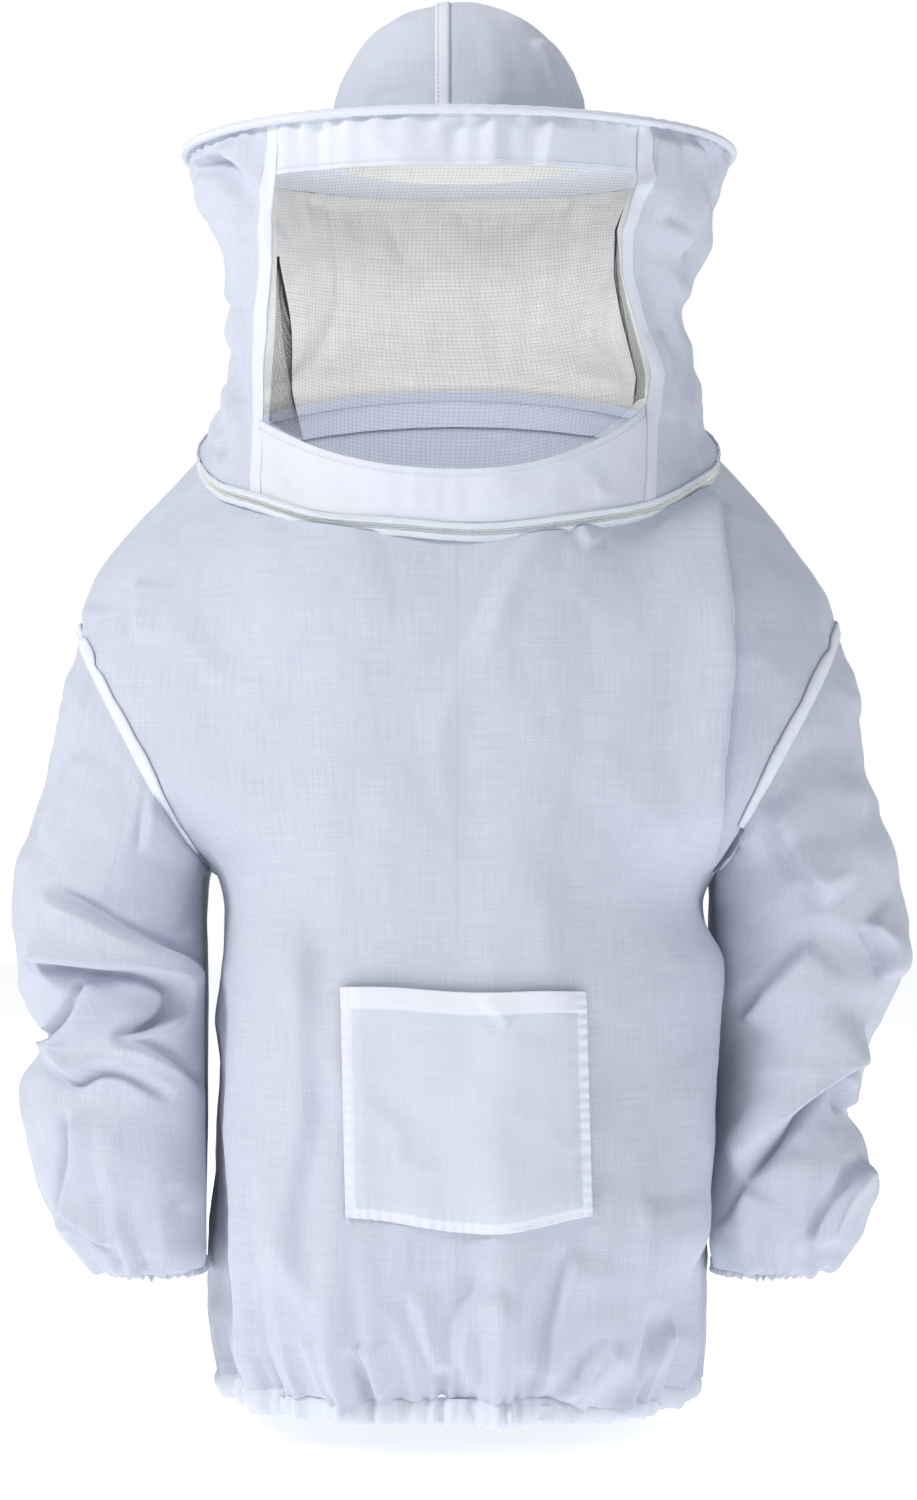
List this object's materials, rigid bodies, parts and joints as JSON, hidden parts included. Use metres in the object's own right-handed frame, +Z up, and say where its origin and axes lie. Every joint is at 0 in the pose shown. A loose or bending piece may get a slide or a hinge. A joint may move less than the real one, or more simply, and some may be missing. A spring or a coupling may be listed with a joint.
{
  "type": "beekeeping smock with attached round veil hat",
  "caption": "Loose cotton pull-over smock with elastic hem and cuffs, a front patch pocket and a zip-on wide-brimmed veil hat with a netting window.",
  "frame": {"origin": "middle of the neck zip's circle, at the base of the wearer's neck", "axes": "+Z up, -Y the wearer's front, +X the wearer's left"},
  "size_m": [0.6882, 0.428, 1.0684],
  "materials": {
    "cotton": "plain-weave white cotton, matt",
    "lining": "unbleached cream cotton, matt",
    "netting": "fine black knitted netting",
    "zip_tape": "woven polyester tape, off-white",
    "zip_coil": "moulded nylon coil, slight gloss",
    "slider_metal": "dark plated die-cast metal",
    "elastic": "braided elastic",
    "hoop_wire": "drawn spring wire"
  },
  "bodies": {
    "smock": {"front_panel": "cotton", "back_panel": "cotton", "left_armhole_seam": "cotton", "right_armhole_seam": "cotton", "pocket_panel": "cotton", "pocket_hem": "cotton", "hem_casing": "cotton", "hem_elastic": "elastic", "lower_zip_tape": "zip_tape", "lower_zip_teeth": "zip_coil", "zip_top_stop": "slider_metal", "zip_bottom_stop": "slider_metal", "neck_facing": "cotton", "back_neck_seam": "cotton"},
    "hood": {"upper_zip_tape": "zip_tape", "upper_zip_teeth": "zip_coil", "front_collar_band": "cotton", "window_top_band": "cotton", "window_left_band": "cotton", "window_right_band": "cotton", "window_mesh": "netting", "veil_left_panel": "cotton", "veil_right_panel": "cotton", "veil_back_panel": "lining", "brim_top": "cotton", "brim_underside": "cotton", "brim_hoop": "hoop_wire", "brim_binding": "cotton", "crown_front_left_gore": "cotton", "crown_front_right_gore": "cotton", "crown_rear_left_gore": "cotton", "crown_rear_right_gore": "cotton", "crown_front_seam": "cotton", "sweatband": "lining"},
    "zip_slider": {"zip_slider_body": "slider_metal"},
    "zip_pull": {"zip_pull_tab": "slider_metal"},
    "left_sleeve": {"left_sleeve": "cotton", "left_cuff_casing": "cotton", "left_cuff_elastic": "elastic"},
    "right_sleeve": {"right_sleeve": "cotton", "right_cuff_casing": "cotton", "right_cuff_elastic": "elastic"}
  },
  "joints": [
    {"name": "hood_tip", "type": "hinge", "parent": "smock", "child": "hood", "pos_m": [0, 0.19264, 0.07011], "axis": [-1, 0, 0], "range_deg": [0, 100]},
    {"name": "zip_travel", "type": "hinge", "parent": "smock", "child": "zip_slider", "pos_m": [0, 0, 0], "axis": [0, -0.342, 0.9397], "range_deg": [0, 232]},
    {"name": "pull_swing", "type": "hinge", "parent": "zip_slider", "child": "zip_pull", "pos_m": [-0.18497, 0.08478, 0.03086], "axis": [0.4384, 0.8446, 0.3074], "range_deg": [0, 90]},
    {"name": "left_arm_raise", "type": "hinge", "parent": "smock", "child": "left_sleeve", "pos_m": [0.292, 0, -0.137], "axis": [0, -1, 0], "range_deg": [0, 70]},
    {"name": "right_arm_raise", "type": "hinge", "parent": "smock", "child": "right_sleeve", "pos_m": [-0.292, 0, -0.137], "axis": [0, 1, 0], "range_deg": [0, 70]}
  ]
}
